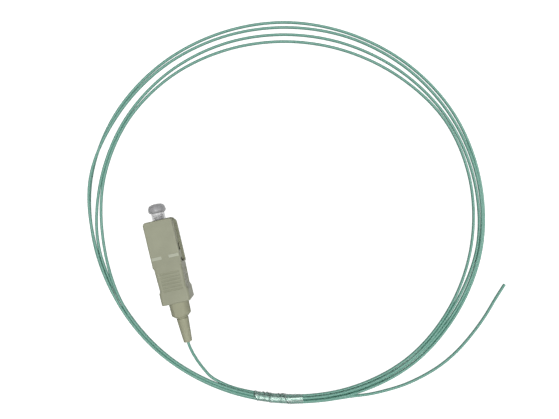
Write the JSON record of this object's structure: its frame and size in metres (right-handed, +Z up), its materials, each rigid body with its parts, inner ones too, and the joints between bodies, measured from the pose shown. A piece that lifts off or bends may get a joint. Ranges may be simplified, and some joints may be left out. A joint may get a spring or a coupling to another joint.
{
  "type": "fibre optic pigtail",
  "caption": "Push-pull square fibre plug with dust cap and boot on a thin buffered fibre, wound in a loose flat ring with a bare cut end.",
  "frame": {"origin": "on the floor under the middle of the plug, from its dust cap's tip to its boot's end", "axes": "+Y the way the plug mates, along the plug; +Z up from the floor with the plug key down; +X across the plug, towards the fibre's ring"},
  "size_m": [0.1254, 0.1239, 0.0087],
  "materials": {
    "housing": "moulded greenish beige, fine satin grain",
    "frame": "moulded greenish beige",
    "boot": "soft moulded beige, matte",
    "ferrule": "polished white zirconia",
    "metal": "nickel plated",
    "cap": "cloudy clear moulded plastic",
    "fibre": "aqua tight buffer, satin",
    "film": "clear thin film"
  },
  "bodies": {
    "plug": {"plug_frame": "frame", "stop_ring": "metal", "boot": "boot", "ferrule_spring": "metal", "fiber_lead": "fibre", "fiber_coil": "fibre", "fiber_tail": "fibre", "wrap_tie": "film"},
    "housing": {"outer_housing": "housing"},
    "ferrule": {"ferrule": "ferrule", "ferrule_flange": "metal"},
    "cap": {"dust_cap": "cap"}
  },
  "joints": [
    {"name": "housing_slide", "type": "slide", "parent": "plug", "child": "housing", "axis": [0, 0.9988, 0.0499], "range_m": [-0.0017, 0]},
    {"name": "ferrule_float", "type": "slide", "parent": "plug", "child": "ferrule", "axis": [0, 0.9988, 0.0499], "range_m": [-0.001, 0], "stiffness_N_per_m": 2000, "springref_m": 0.004, "deforming": ["ferrule_spring"]},
    {"name": "dust_cap_pull", "type": "slide", "parent": "ferrule", "child": "cap", "axis": [0, 0.9988, 0.0499], "range_m": [0, 0.012]}
  ]
}
